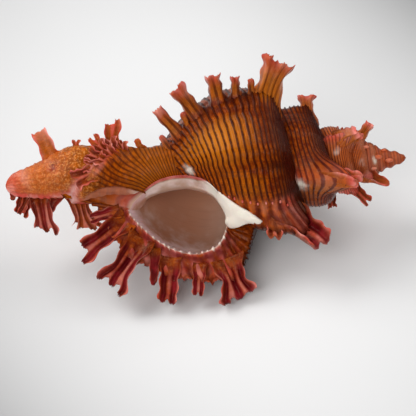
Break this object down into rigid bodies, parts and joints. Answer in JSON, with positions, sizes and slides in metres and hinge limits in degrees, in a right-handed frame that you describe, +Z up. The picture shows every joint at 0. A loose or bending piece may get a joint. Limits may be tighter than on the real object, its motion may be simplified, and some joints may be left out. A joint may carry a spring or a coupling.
{
  "type": "murex shell",
  "caption": "Branched murex sea shell with leafy spined ribs, a long canal and an open mouth, lying as found on a table.",
  "frame": {"origin": "centre of the bounding box's footprint, at the level the shell lies on", "axes": "+X from the canal's tip to the apex, +Z up, -Y the side the mouth looks out of"},
  "size_m": [0.0992, 0.0552, 0.0501],
  "materials": {
    "shell": "satin, natural shell"
  },
  "bodies": {
    "root": {"shell": "shell"}
  },
  "joints": []
}
